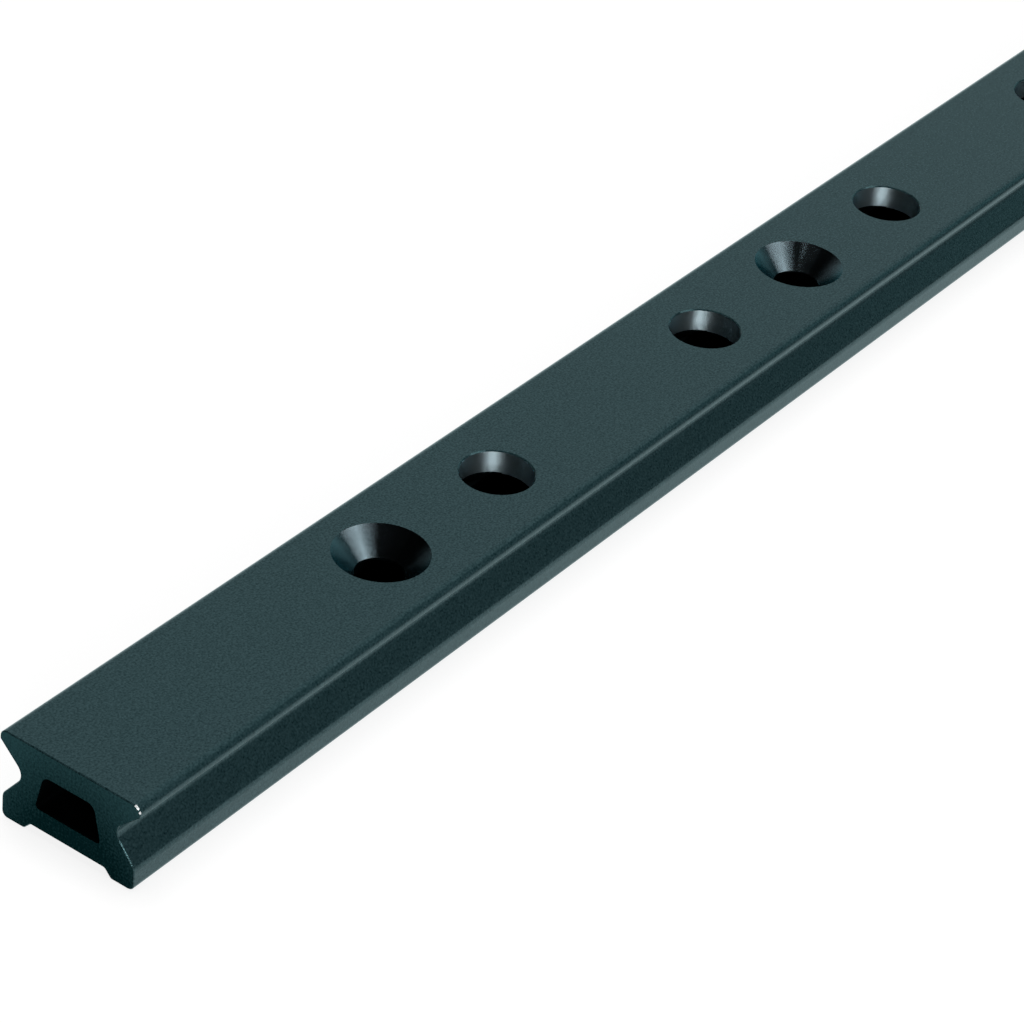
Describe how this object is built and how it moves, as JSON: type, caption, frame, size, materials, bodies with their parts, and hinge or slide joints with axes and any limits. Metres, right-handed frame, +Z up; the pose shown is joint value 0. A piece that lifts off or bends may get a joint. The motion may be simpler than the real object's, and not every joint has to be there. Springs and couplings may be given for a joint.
{
  "type": "sail track section",
  "caption": "Straight ball-bearing sail track of I section with V side grooves, a hollow core, two feet, countersunk fastener holes and plain stop holes along the top.",
  "frame": {"origin": "middle of the underside of the feet", "axes": "+X along the track, away from the cut end whose first fastener hole is 59 mm in; +Y across; +Z up, out of the drilled top face"},
  "size_m": [1, 0.0218, 0.013],
  "materials": {
    "anodised_aluminium": "black anodised extrusion, satin, with machined holes and a sawn end"
  },
  "bodies": {
    "root": {"track": "anodised_aluminium"}
  },
  "joints": []
}
